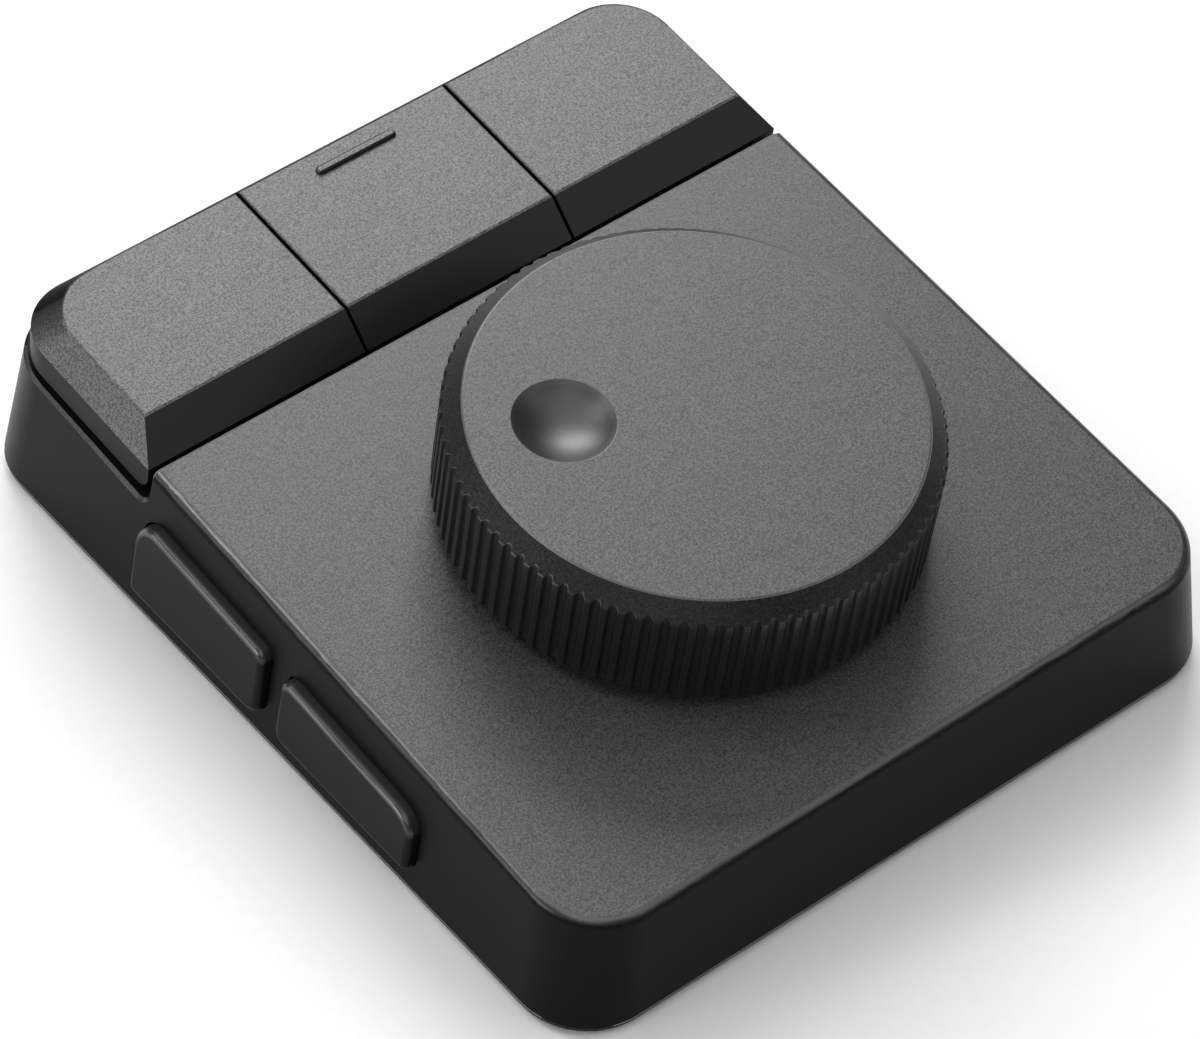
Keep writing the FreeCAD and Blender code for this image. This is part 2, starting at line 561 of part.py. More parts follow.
def key_cap(name):
    cap = key_cut(key_bar(0, 0, KEY_SKIRT_Z), name, 0)
    heel = edges_where(cap, lambda p: abs(p.y - KEY_FRONT_Y) < TOUCH and abs(p.z - KEY_SKIRT_Z) < TOUCH)
    cap = cap.makeFillet(KEY_HEEL_R, heel)
    cap = cap.makeChamfer(KEY_EDGE, edges_where(cap, lambda p: p.z > KEY_TOP_RISE - TOUCH))
    ceiling = KEY_TOP_RISE - KEY_WALL
    cap = cap.cut(key_cut(key_bar(KEY_WALL, KEY_WALL, BAY_Z), name, KEY_WALL))
    growth = [square_post(key_middle_x(name), TACT_Y, STEM_END, ceiling + BURY, STEM_SIDE)]
    for x, y in leg_places(name):
        growth += snap_leg(x, y, ceiling)
    if name == "middle":
        growth.append(homing_bar())
    return join([cap] + growth)


def key_switch(name):
    x = key_middle_x(name)
    body = slab((TACT_SIDE, TACT_SIDE, TACT_HEIGHT), (x, TACT_Y), BOARD_TOP)
    well = TACT_TOP - TACT_TIP_INSIDE - KEY_TRAVEL - TIP_CLEARANCE
    return body.cut(square_post(x, TACT_Y, well, TACT_TOP + 1, TACT_TIP_SIDE + 2 * TIP_CLEARANCE))


def key_plunger(name):
    return square_post(key_middle_x(name), TACT_Y, TACT_TOP - TACT_TIP_INSIDE, STEM_END, TACT_TIP_SIDE)


# ---- side buttons --------------------------------------------------------------------------------
def side_tip_place(name):
    """Middle of a side switch's tip in the deck frame: its y and z."""
    y0, y1 = side_span(name)
    middle = to_deck(V(0, (y0 + y1) / 2, BODY_Z + (SIDE_LOW + SIDE_HIGH) / 2))
    return middle.y, SIDE_TACT_Z


def on_side_face(point):
    """Whether a point lies on the buttons' outer face, which leans as the wall does."""
    face_x = BODY_WIDTH / 2 - DRAFT_SLOPE * (point.z - BODY_Z) + SIDE_PROUD
    return -point.x > face_x - TOUCH


def side_button(name):
    prism = side_prism(name, -BODY_WIDTH / 2 - 2 * SIDE_PROUD, -SIDE_TAB_X, 0)
    cap = prism.common(drafted_block(BODY_Z, BODY_Z + DECK_HEIGHT, -SIDE_PROUD))
    cap = cap.makeChamfer(SIDE_EDGE, edges_where(cap, on_side_face))
    y0, y1 = side_span(name)
    tabs = box(-SIDE_TAB_X, -SIDE_TAB_X + SIDE_TAB_THICKNESS, y0 - SIDE_TAB, y1 + SIDE_TAB,
               BODY_Z + SIDE_LOW + SIDE_TAB_INSET, BODY_Z + SIDE_HIGH - SIDE_TAB_INSET)
    y, z = side_tip_place(name)
    tip = DECK.multVec(V(0, y, z))
    half_y, half_z = SIDE_STEM[0] / 2, SIDE_STEM[1] / 2
    stem = box(-SIDE_TAB_X, -SIDE_TIP_X, tip.y - half_y, tip.y + half_y, tip.z - half_z, tip.z + half_z)
    return join([cap, tabs, stem])


def side_switch(name):
    y, z = side_tip_place(name)
    x0, x1 = -BOARD_HALF_WIDTH, -BOARD_HALF_WIDTH + SIDE_TACT_DEPTH
    body = box(x0, x1, y - TACT_SIDE / 2, y + TACT_SIDE / 2, BOARD_TOP, BOARD_TOP + SIDE_TACT_HEIGHT)
    half_y, half_z = SIDE_TIP_WIDTH / 2 + TIP_CLEARANCE, SIDE_TIP_HEIGHT / 2 + TIP_CLEARANCE
    depth = SIDE_TIP_INSIDE + SIDE_TRAVEL + TIP_CLEARANCE
    return body.cut(box(x0 - 1, x0 + depth, y - half_y, y + half_y, z - half_z, z + half_z))


def side_plunger(name):
    y, z = side_tip_place(name)
    x0, x1 = -SIDE_TIP_X, -BOARD_HALF_WIDTH + SIDE_TIP_INSIDE
    half_y, half_z = SIDE_TIP_WIDTH / 2, SIDE_TIP_HEIGHT / 2
    return box(x0, x1, y - half_y, y + half_y, z - half_z, z + half_z)


# ---- dial and encoder ----------------------------------------------------------------------------
def dial_knob():
    chamfer_foot = DIAL_TOP - DIAL_CHAMFER_DROP
    inner_r = DIAL_R - DIAL_WALL
    profile = [(0, DIAL_TOP), (DIAL_FLAT_R, DIAL_TOP), (DIAL_FLAT_R + DIAL_BEVEL, DIAL_TOP - DIAL_BEVEL),
               (DIAL_R, chamfer_foot), (DIAL_R, DIAL_GAP), (inner_r, DIAL_GAP), (inner_r, DIAL_CEILING),
               (0, DIAL_CEILING), (0, DIAL_TOP)]
    section = Part.Face(Part.makePolygon([V(r, 0, z) for r, z in profile]))
    knob = section.revolve(V(0, 0, 0), Z_AXIS, 360)
    return knob.cut(Part.makeCompound(dial_flutes())).cut(dimple_ball())


def dial_flutes():
    """Grooves round the dial's side. They run out into its chamfer."""
    root, mouth = DIAL_R - FLUTE_DEPTH, DIAL_R + FLUTE_DEPTH
    corners = [V(root, 0, 0), V(mouth, -FLUTE_WIDTH, 0), V(mouth, FLUTE_WIDTH, 0), V(root, 0, 0)]
    flute = Part.Face(Part.makePolygon(corners)).extrude(V(0, 0, DIAL_TOP))
    flutes = []
    for i in range(FLUTES):
        turned = flute.copy()
        turned.rotate(V(0, 0, 0), Z_AXIS, i * 360 / FLUTES)
        flutes.append(turned)
    return flutes


def dimple_ball():
    ball_r = (DIMPLE_R ** 2 + DIMPLE_DEPTH ** 2) / (2 * DIMPLE_DEPTH)
    turn = math.radians(DIMPLE_ANGLE)
    x, y = DIMPLE_FROM_AXIS * math.cos(turn), DIMPLE_FROM_AXIS * math.sin(turn)
    return Part.makeSphere(ball_r, V(x, y, DIAL_TOP + ball_r - DIMPLE_DEPTH))


def dial_hub():
    """A cross of four arms under the dial's roof, with a boss that grips the shaft's flat."""
    reach = math.sqrt((DIAL_R - DIAL_WALL - HUB_FIT) ** 2 - (HUB_ARM_WIDTH / 2) ** 2)
    under = DIAL_CEILING - HUB_THICKNESS
    arms = [slab(size, (0, 0), under) for size in ((2 * reach, HUB_ARM_WIDTH, HUB_THICKNESS),
                                                   (HUB_ARM_WIDTH, 2 * reach, HUB_THICKNESS))]
    bore = post(0, 0, HUB_END - 1, DIAL_TOP, SHAFT_R + HUB_FIT)
    bore = bore.cut(box(SHAFT_FLAT + HUB_FIT, BIG, -BIG, BIG, -BIG, BIG))
    return join(arms + [post(0, 0, HUB_END, under + BURY, HUB_BOSS_R)]).cut(bore)


def encoder_shaft():
    shaft = post(0, 0, SHAFT_END, SHAFT_TOP, SHAFT_R)
    d_flat = box(SHAFT_FLAT, BIG, -BIG, BIG, HUB_END, BIG)
    drive_top = ROTOR_TOP + DIAL_TRAVEL + SHAFT_FIT
    right_drive = box(DRIVE_FLAT, BIG, -BIG, BIG, -BIG, drive_top)
    left_drive = box(-BIG, -DRIVE_FLAT, -BIG, BIG, -BIG, drive_top)
    return shaft.cut([d_flat, right_drive, left_drive])


def encoder_rotor():
    disc = post(0, 0, ROTOR_UNDER, ROTOR_TOP, ROTOR_R)
    bore = post(0, 0, ROTOR_UNDER - 1, ROTOR_TOP + 1, SHAFT_R + SHAFT_FIT)
    flat = DRIVE_FLAT + SHAFT_FIT
    return disc.cut(bore.common(box(-flat, flat, -BIG, BIG, -BIG, BIG)))


def encoder_bush():
    collar = post(0, 0, BUSH_UNDER, BUSH_RISE, BUSH_R)
    flange = slab((ENCODER_SIDE, ENCODER_SIDE, BUSH_FLANGE), (0, 0), BUSH_UNDER)
    return join([collar, flange]).cut(post(0, 0, BUSH_UNDER - 1, BUSH_RISE + 1, SHAFT_R + SHAFT_FIT))


def encoder_body():
    body = slab((ENCODER_SIDE, ENCODER_SIDE, BUSH_UNDER - BOARD_TOP), (0, 0), BOARD_TOP)
    well = post(0, 0, ROTOR_UNDER - ROTOR_CLEARANCE, BUSH_UNDER + 1, ROTOR_R + ROTOR_CLEARANCE)
    press = post(0, 0, PLUNGER_END - DIAL_TRAVEL - TIP_CLEARANCE, BUSH_UNDER, PLUNGER_R + TIP_CLEARANCE)
    return body.cut([well, press])


def encoder_nut():
    corner_r = NUT_FLATS / math.sqrt(3)
    turns = [math.radians(60 * i) for i in range(7)]
    ring = [V(corner_r * math.cos(turn), corner_r * math.sin(turn), WASHER_THICKNESS) for turn in turns]
    nut = Part.Face(Part.makePolygon(ring)).extrude(V(0, 0, NUT_HEIGHT))
    return nut.cut(post(0, 0, 0, BUSH_RISE, BUSH_R + SCREW_FIT))


def encoder_washer():
    return post(0, 0, 0, WASHER_THICKNESS, WASHER_R).cut(post(0, 0, -1, 1, BUSH_R + BUSH_HOLE_CLEARANCE))


def press_plunger():
    return post(0, 0, PLUNGER_END, SHAFT_END, PLUNGER_R)


# ---- board and what it carries -------------------------------------------------------------------
def main_board():
    board = plate(-BOARD_HALF_WIDTH, BOARD_HALF_WIDTH, BOARD_FRONT_Y, BOARD_REAR_Y, BOARD_UNDER, BOARD_TOP,
                  BOARD_CORNER_R)
    notch_half, notch_y = USB_WIDTH / 2 + USB_CLEARANCE, BOARD_REAR_Y - USB_NOTCH_DEPTH
    holes = [box(-notch_half, notch_half, notch_y, BOARD_REAR_Y + 1, BOARD_UNDER - 1, 0)]
    for x, y in board_screw_places():
        holes.append(post(x, y, BOARD_UNDER - 1, 0, SCREW_R + SCREW_FIT))
    notch_r = COVER_POST_R + POST_NOTCH_CLEARANCE
    return on_deck(board.cut(holes)).cut([post(x, y, 0, ROOF_Z, notch_r) for x, y in cover_screw_places()])


def screw(x, y, seat_z, length):
    """A screw that is driven upwards; seat_z is the underside of its head."""
    head = post(x, y, seat_z - SCREW_HEAD_HEIGHT, seat_z, SCREW_HEAD_R)
    return join([head, post(x, y, seat_z, seat_z + length, SCREW_R)])


def board_screws():
    length = BOARD_THICKNESS + SCREW_BITE - SCREW_FIT
    return Part.makeCompound([screw(x, y, BOARD_UNDER, length) for x, y in board_screw_places()])


def radio_shield():
    width, depth, height = SHIELD_SIZE
    hollow = (width - 2 * SHIELD_WALL, depth - 2 * SHIELD_WALL, height - SHIELD_WALL)
    return slab(SHIELD_SIZE, SHIELD_PLACE, BOARD_TOP).cut(slab(hollow, SHIELD_PLACE, BOARD_TOP))


def usb_socket_shell():
    back = PORT_FACE_Y - USB_LENGTH
    tube = bar_along_y(0, USB_WIDTH, USB_Z, USB_HEIGHT, back, PORT_FACE_Y, USB_HEIGHT / 2 - TOUCH)
    inner_height = USB_HEIGHT - 2 * USB_WALL
    hollow = bar_along_y(0, USB_WIDTH - 2 * USB_WALL, USB_Z + USB_WALL, inner_height,
                         back + USB_BACK, PORT_FACE_Y + 1, inner_height / 2 - TOUCH)
    return tube.cut(hollow)


def usb_socket_tongue():
    z0 = USB_Z + (USB_HEIGHT - USB_TONGUE_HEIGHT) / 2
    return bar_along_y(0, USB_TONGUE_WIDTH, z0, USB_TONGUE_HEIGHT, PORT_FACE_Y - USB_LENGTH + USB_BACK,
                       PORT_FACE_Y - USB_TONGUE_SETBACK, USB_TONGUE_R)


def power_switch_body():
    width, depth, height = POWER_BODY
    y0 = BOARD_REAR_Y - depth
    body = box(POWER_X - width / 2, POWER_X + width / 2, y0, BOARD_REAR_Y, BOARD_TOP, BOARD_TOP + height)
    half_x = (POWER_NECK[0] + POWER_TRAVEL) / 2 + TIP_CLEARANCE
    half_z = POWER_NECK[1] / 2 + TIP_CLEARANCE
    return body.cut(box(POWER_X - half_x, POWER_X + half_x, y0 + POWER_BACK - TIP_CLEARANCE, BOARD_REAR_Y + 1,
                        POWER_Z - half_z, POWER_Z + half_z))


def power_slider():
    """At rest it stands at the -X end of its travel."""
    x = POWER_X - POWER_TRAVEL / 2
    neck_start = BOARD_REAR_Y - POWER_BODY[1] + POWER_BACK
    face = PORT_FACE_Y + POWER_PROUD
    root = face - POWER_GRIP_DEPTH
    neck = box(x - POWER_NECK[0] / 2, x + POWER_NECK[0] / 2, neck_start, root + BURY,
               POWER_Z - POWER_NECK[1] / 2, POWER_Z + POWER_NECK[1] / 2)
    grip = bar_along_y(x, POWER_GRIP[0], POWER_Z - POWER_GRIP[1] / 2, POWER_GRIP[1], root, face, POWER_SLOT_R)
    cuts = []
    for i in range(POWER_GROOVES):
        start = x + (i - (POWER_GROOVES - 1) / 2) * POWER_GROOVE_PITCH - POWER_GROOVE_WIDTH / 2
        cuts.append(box(start, start + POWER_GROOVE_WIDTH, face - POWER_GROOVE_DEPTH, face + 1, -BIG, BIG))
    return join([neck, grip]).cut(cuts)


# ---- base ----------------------------------------------------------------------------------------
def bottom_cover():
    edge = chamfered_block(BODY_Z, WALL_Z, COVER_INSET, COVER_FOOT_CHAMFER)
    floor = drafted_block(WALL_Z - BURY, COVER_TOP_Z, WALL + COVER_FIT)
    pieces = [edge, floor]
    width, depth = BATTERY_WIDTH + 2 * TRAY_GAP, BATTERY_DEPTH + 2 * TRAY_GAP
    tray = slab((width + 2 * TRAY_WALL, depth + 2 * TRAY_WALL, TRAY_HEIGHT + BURY), (0, BATTERY_Y),
                COVER_TOP_Z - BURY)
    pieces.append(tray.cut(slab((width, depth, BIG), (0, BATTERY_Y), COVER_TOP_Z - BURY)))
    for x, y in cover_screw_places():
        pieces.append(post(x, y, COVER_TOP_Z - BURY, COVER_BOSS_Z, COVER_POST_R))
    pieces += cover_hook_stems() + cover_hooks(0)
    holes = [pad_plate(-1, PAD_SEAT_Z, PAD_FIT)]
    for x, y in cover_screw_places():
        holes.append(post(x, y, 0, SCREW_SEAT_Z, SCREW_HEAD_R + SCREW_HEAD_CLEARANCE))
        holes.append(post(x, y, 0, BIG, SCREW_R + SCREW_FIT))
    return join(pieces).cut(holes)


def pad_plate(z0, z1, grow):
    half_x, half_y = BODY_WIDTH / 2 - PAD_INSET + grow, BODY_LENGTH / 2 - PAD_INSET + grow
    return plate(-half_x, half_x, -half_y, half_y, z0, z1, PAD_CORNER_R + grow)


def board_underside(y):
    """Height of the tilted board's underside in the base frame, at y in that frame."""
    normal = DECK.Rotation.multVec(Z_AXIS)
    foot = DECK.multVec(V(0, 0, BOARD_UNDER))
    return foot.z - (y - foot.y) * normal.y / normal.z


def battery_connector():
    """The pack's socket under the board, beside the pack."""
    return slab(CONNECTOR_SIZE, (CONNECTOR_X, CONNECTOR_Y), BOARD_UNDER - CONNECTOR_SIZE[2])


def battery_pack():
    front_y = BATTERY_Y - BATTERY_DEPTH / 2
    height = board_underside(front_y) - BATTERY_HEADROOM - COVER_TOP_Z
    return slab((BATTERY_WIDTH, BATTERY_DEPTH, height), (0, BATTERY_Y), COVER_TOP_Z)


def ballast_plate():
    front_y = DECK.multVec(V(0, BOARD_FRONT_Y, BOARD_UNDER)).y
    height = board_underside(front_y) - BALLAST_HEADROOM - COVER_TOP_Z
    return slab((BALLAST_WIDTH, BALLAST_DEPTH, height), (0, BALLAST_Y), COVER_TOP_Z)


def cover_screws():
    screws = [screw(x, y, SCREW_SEAT_Z, COVER_SCREW_LENGTH) for x, y in cover_screw_places()]
    return Part.makeCompound(screws)


# ---- the whole object ----------------------------------------------------------------------------
def all_nodes():
    """Every sub-part in the base frame, by name."""
    base = {"upper_housing": upper_housing(), "bottom_cover": bottom_cover(),
            "anti_slip_pad": pad_plate(0, PAD_THICKNESS, 0), "cover_screws": cover_screws(),
            "battery_pack": battery_pack(), "main_board": main_board(),
            "ballast_plate": ballast_plate()}
    deck = {"dial_knob": dial_knob(), "dial_hub": dial_hub(),
            "encoder_shaft": encoder_shaft(), "encoder_rotor": encoder_rotor(),
            "encoder_bush": encoder_bush(), "encoder_body": encoder_body(),
            "encoder_washer": encoder_washer(), "encoder_nut": encoder_nut(),
            "press_plunger": press_plunger(), "board_screws": board_screws(),
            "radio_shield": radio_shield(),
            "controller_chip": slab((CHIP_SIDE, CHIP_SIDE, CHIP_HEIGHT), CHIP_PLACE, BOARD_TOP),
            "battery_connector": battery_connector(),
            "usb_socket_shell": usb_socket_shell(), "usb_socket_tongue": usb_socket_tongue(),
            "power_switch_body": power_switch_body(), "power_slider": power_slider()}
    for name in KEY_NAMES:
        deck["key_" + name] = key_cap(name)
        deck["key_switch_" + name] = key_switch(name)
        deck["key_plunger_" + name] = key_plunger(name)
    for name in SIDE_NAMES:
        base["side_button_" + name] = side_button(name)
        deck["side_switch_" + name] = side_switch(name)
        deck["side_plunger_" + name] = side_plunger(name)
    base.update({name: on_deck(shape) for name, shape in deck.items()})
    return base


os.makedirs("parts", exist_ok=True)
for node, shape in all_nodes().items():
    shape.exportStep("parts/" + node + ".step")
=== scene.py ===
import math

import bmesh
import bpy
from mathutils import Matrix, Vector


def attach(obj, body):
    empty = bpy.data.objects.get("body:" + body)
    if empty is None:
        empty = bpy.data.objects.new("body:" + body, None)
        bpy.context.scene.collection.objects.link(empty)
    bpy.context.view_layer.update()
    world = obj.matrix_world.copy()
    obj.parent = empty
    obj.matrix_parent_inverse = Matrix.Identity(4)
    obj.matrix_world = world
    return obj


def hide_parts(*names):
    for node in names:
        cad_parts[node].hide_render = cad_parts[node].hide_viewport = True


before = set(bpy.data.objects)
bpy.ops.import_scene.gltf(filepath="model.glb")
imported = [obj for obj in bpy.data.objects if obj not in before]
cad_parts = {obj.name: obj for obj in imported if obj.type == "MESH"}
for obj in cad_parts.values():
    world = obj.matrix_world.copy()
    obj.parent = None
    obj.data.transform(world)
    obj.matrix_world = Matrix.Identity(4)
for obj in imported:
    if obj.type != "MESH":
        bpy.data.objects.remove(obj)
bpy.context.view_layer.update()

MM = 0.001

# The deck is a plane that leans towards the front; the dial, the keys and the deck share its frame.
DECK_ORIGIN = Vector((0.0, -11.8, 17.6)) * MM
DECK_NORMAL = Vector((0.0, -0.073238, 0.997314)).normalized()
DECK_X = Vector((1.0, 0.0, 0.0))
DECK_Y = DECK_NORMAL.cross(DECK_X)

# The dial, in millimetres in the deck's frame.
DIAL_R = 24.75
DIAL_TOP = 14.85
DIAL_FOOT = 1.65
DIAL_WALL, DIAL_ROOF = 3.2, 3.2
DIAL_FLAT_R = 22.6
DIAL_CHAMFER_DROP = 1.95
DIAL_BEVEL = 0.24
CHAMFER_SLOPE = (DIAL_CHAMFER_DROP - DIAL_BEVEL) / (DIAL_R - DIAL_FLAT_R - DIAL_BEVEL)
WALL_STEPS, CHAMFER_STEPS, BEVEL_STEPS = 5, 5, 4
BEVEL_POWER = 1.2

# The roundings of the dial's foot and of its turn into the chamfer, as (inwards, up) from the corner.
DIAL_FOOT_ROUNDING = ((0.30, 0.0), (0.13, 0.03), (0.03, 0.13), (0.0, 0.30))
DIAL_TURN_ROUNDING = ((0.0, -0.10), (0.012, -0.035), (0.045, 0.03))
CHAMFER_FROM = 0.11

# The flutes: the ridge between two is rounded by (out of the mouth, in from the wall) steps.
FLUTES = 90
FLUTE_R = 0.47
FLUTE_OUT = 0.06
FLUTE_DEGREES = (66, 54, 42, 30, 16)
RIDGE_ROUNDING = ((0.24, 0.0), (0.14, 0.0), (0.065, 0.010), (0.02, 0.035), (-0.004, 0.085))

# The finger dimple and its rim, as (outwards, up) from the dimple's edge.
DIMPLE_R = 5.05
DIMPLE_DEPTH = 1.8
DIMPLE_RIM = ((0.12, 0.0), (0.05, -0.012), (0.0, -0.05))
DIMPLE_BOWL_R = DIMPLE_R - 0.02
DIMPLE_RINGS, DIMPLE_STEPS = 18, 96
DIMPLE_FROM_AXIS = 13.1
DIMPLE_ANGLE = 151.5

# The body, in millimetres in the row frame.
BODY_HALF_X, BODY_HALF_Y, BODY_CORNER_R = 42.3131, 48.6131, 6.5
WALL_DRAFT = math.tan(math.radians(6.2))
WALL_NORMAL = Vector((-1.0, 0.0, WALL_DRAFT)).normalized()
DECK_RIM_R = 1.2
BAY_LIP_DEPTH, BAY_LIP_WIDTH = 5.5, 3.0
REAR_LIP_Y = (10.0, 30.0)
FOOT_EDGE_Z, FOOT_EDGE_WIDTH = 1.4, 0.18
FOOT_EDGE_NEAR, FOOT_EDGE_DEEP = 0.05, 0.8
FOOT_BAND, FOOT_BAND_DEEP = (-0.15, 0.25), 0.4

# The side buttons and their openings: their outline in the solids, and the one that they are given here.
BUTTON_X_LIMIT = -38.0
BUTTON_SPANS = {"rear": (-0.10, 20.70), "front": (-23.80, -3.00)}
BUTTON_LOW, BUTTON_HIGH = 4.5, 13.1
BUTTON_OUTER_R, BUTTON_INNER_R = 4.0, 1.4
BUTTON_REACH = (-0.65, 0.35)
BUTTON_TOP_AT_ZERO, BUTTON_TOP_SLOPE = 13.0, 0.0734
BUTTON_TOP_R, BUTTON_LOW_R = 3.1, 0.8
BUTTON_ROUNDING = 0.30

# How the solids' faces are joined before rounding.
JOIN_MM, FLAT_DEGREES = 0.002, 0.6

# Which way a face looks, as the share of its normal in a direction of the deck or of the wall.
LOOKS_UP, LOOKS_BACK, LOOKS_DOWN = 0.2, 0.5, -0.65
KEY_TOP_UP, KEY_SKIRT_UP = 0.9995, 0.35
BUTTON_FACE_OUT = 0.999

# The materials of the pieces that are made here, by their number in the mesh.
KEY_SKIRT, KEY_TOP, KEY_FRONT, KEY_SLOPE = range(4)
DIAL_FLAT, DIAL_SIDE, DIAL_SLOPE, DIAL_EDGE, DIAL_BOWL = range(5)
WALL, DECK, BAY_LIP, REAR_LIP, FOOT = range(5)
BUTTON_FACE, BUTTON_SIDE = range(2)

# The grain of the blasted tops and of the satin walls, and the slow drift under it.
GRAIN_MM, SATIN_GRAIN_MM = 0.22, 0.12
SPECK_CONTRAST = 0.13
DRIFT_MM, DRIFT_SHARE = 18.0, 0.12

# The stage, in metres, and the camera, whose centre lies a little off the picture's.
FLOOR_HALF = 3.0
LIGHTS_AIM = Vector((0.0, 0.0, 0.015))
CAM_AZ, CAM_EL, CAM_ROLL = (math.radians(a) for a in (43.226, 48.634, -5.167))
CAM_PLACE = Vector((-0.25617, -0.27494, 0.43139))
SENSOR_MM = 36.0
FOCAL_PX, FRAME_W = 5635.58, 1200.0
CENTRE_PX = (-12.60, 0.91)


def deck_point(x, y, z):
    """A point in the deck's frame, in millimetres, as a point in the row frame, in metres."""
    return DECK_ORIGIN + (DECK_X * x + DECK_Y * y + DECK_NORMAL * z) * MM


# ---------------------------------------------------------------- materials

def grey(value):
    return (value, value, value, 1.0)


def tinted(value, warm=0.0):
    return (value * (1 + warm), value, value * (1 - warm), 1.0)


def link(tree, a, b):
    tree.links.new(a, b)


def noise(tree, coords, size_mm, detail=2.0, rough=0.5):
    node = tree.nodes.new("ShaderNodeTexNoise")
    node.inputs["Scale"].default_value = 1.0 / (size_mm * MM)
    node.inputs["Detail"].default_value = detail
    node.inputs["Roughness"].default_value = rough
    link(tree, coords, node.inputs["Vector"])
    return node.outputs["Fac"]


def ramp(tree, value, low, high, out_low=0.0, out_high=1.0):
    node = tree.nodes.new("ShaderNodeMapRange")
    node.inputs["From Min"].default_value = low
    node.inputs["From Max"].default_value = high
    node.inputs["To Min"].default_value = out_low
    node.inputs["To Max"].default_value = out_high
    link(tree, value, node.inputs["Value"])
    return node.outputs["Result"]


def blend_colors(tree, factor, a, b):
    node = tree.nodes.new("ShaderNodeMix")
    node.data_type = "RGBA"
    link(tree, factor, node.inputs["Factor"])
    for socket, value in ((node.inputs["A"], a), (node.inputs["B"], b)):
        if isinstance(value, tuple):
            socket.default_value = value
        else:
            link(tree, value, socket)
    return node.outputs["Result"]


def blend_values(tree, factor, a, b):
    node = tree.nodes.new("ShaderNodeMix")
    link(tree, factor, node.inputs["Factor"])
    link(tree, a, node.inputs["A"])
    node.inputs["B"].default_value = b
    return node.outputs["Result"]


def bumped(tree, height, depth_mm):
    node = tree.nodes.new("ShaderNodeBump")
    node.inputs["Strength"].default_value = 1.0
    node.inputs["Distance"].default_value = depth_mm * MM
    link(tree, height, node.inputs["Height"])
    return node.outputs["Normal"]


def new_material(name, metallic=0.0, specular=0.5):
    made = bpy.data.materials.new(name)
    made.use_nodes = True
    tree = made.node_tree
    shader = tree.nodes["Principled BSDF"]
    shader.inputs["Metallic"].default_value = metallic
    shader.inputs["Specular IOR Level"].default_value = specular
    coords = tree.nodes.new("ShaderNodeTexCoord").outputs["Object"]
    return made, tree, shader, coords


def grained(name, dark, light, rough, grain_mm, depth_mm, specular=0.5, metallic=0.0, spread=0.06,
            warm=0.0, contrast=0.2, matte=None):
    """A moulded or blasted surface: fine grain in colour, roughness and relief over a slow drift.

    With matte, the gloss follows the grain too, from matte in the dark specks to specular.
    """
    made, tree, shader, coords = new_material(name, metallic, specular)
    grain = noise(tree, coords, grain_mm, 2.0, 0.7)
    drift = noise(tree, coords, DRIFT_MM, 2.0)
    speck = ramp(tree, grain, 0.5 - contrast, 0.5 + contrast)
    body = blend_colors(tree, speck, tinted(dark, warm), tinted(light, warm))
    slow = ramp(tree, drift, 0.3, 0.7, 0.0, DRIFT_SHARE)
    link(tree, blend_colors(tree, slow, body, tinted(dark, warm)), shader.inputs["Base Color"])
    link(tree, ramp(tree, grain, 0.3, 0.7, rough - spread, rough + spread), shader.inputs["Roughness"])
    link(tree, bumped(tree, grain, depth_mm), shader.inputs["Normal"])
    if matte is not None:
        link(tree, ramp(tree, speck, 0.0, 1.0, matte, specular), shader.inputs["Specular IOR Level"])
    return made


def blasted(name, light, dark=0.012, rough=0.45, depth_mm=0.012, specular=1.0, matte=0.55, spread=0.07):
    """The speckled finish of the tops."""
    return grained(name, dark, light, rough, GRAIN_MM, depth_mm, specular, spread=spread,
                   contrast=SPECK_CONTRAST, matte=matte)


def satin(name, dark, light, rough, depth_mm, specular, grain_mm=SATIN_GRAIN_MM, spread=0.03):
    """The smooth finish of the walls."""
    return grained(name, dark, light, rough, grain_mm, depth_mm, specular, spread=spread)


def fade(made, axis, start, end, gloss, value, rough=None):
    """The finish changes to another gloss and grey where the surface turns towards or off an axis."""
    tree = made.node_tree
    shader = tree.nodes["Principled BSDF"]
    parts = tree.nodes.new("ShaderNodeSeparateXYZ")
    link(tree, tree.nodes["Texture Coordinate"].outputs["Normal"], parts.inputs["Vector"])
    turned = ramp(tree, parts.outputs[axis], start, end)
    for name, left in (("Specular IOR Level", gloss), ("Roughness", rough)):
        socket = shader.inputs[name]
        if left is not None:
            link(tree, blend_values(tree, turned, socket.links[0].from_socket, left), socket)
    color = shader.inputs["Base Color"]
    link(tree, blend_colors(tree, turned, color.links[0].from_socket, grey(value)), color)


WALL_SATIN = satin("wall_satin", 0.0050, 0.0065, 0.34, 0.002, 0.062)
# The wall's rounded foot edge is painted pale grey: a painted highlight.
FOOT_HIGHLIGHT_SATIN = satin("foot_edge_satin_painted_highlight", 0.12, 0.15, 0.30, 0.001, 1.0, spread=0.02)

# The deck's rim catches the light and then turns to the wall's satin; the lips of the bay turn to it too.
DECK_TEX = blasted("deck_blasted", 0.067, dark=0.018, specular=0.88, matte=0.52)
fade(DECK_TEX, "Z", 0.992, 0.965, gloss=1.0, value=0.030, rough=0.28)
fade(DECK_TEX, "Z", 0.93, 0.50, gloss=0.062, value=0.006, rough=0.34)
BAY_LIP_TEX = blasted("bay_lip_blasted", 0.060, rough=0.30, depth_mm=0.003, matte=0.8, spread=0.03)
fade(BAY_LIP_TEX, "Z", 0.80, 0.35, gloss=0.062, value=0.006, rough=0.34)
# The deck's rear lip is painted pale grey: a painted highlight.
REAR_LIP_HIGHLIGHT_TEX = blasted("rear_lip_blasted_painted_highlight", 0.20, dark=0.13, rough=0.34, matte=0.9)
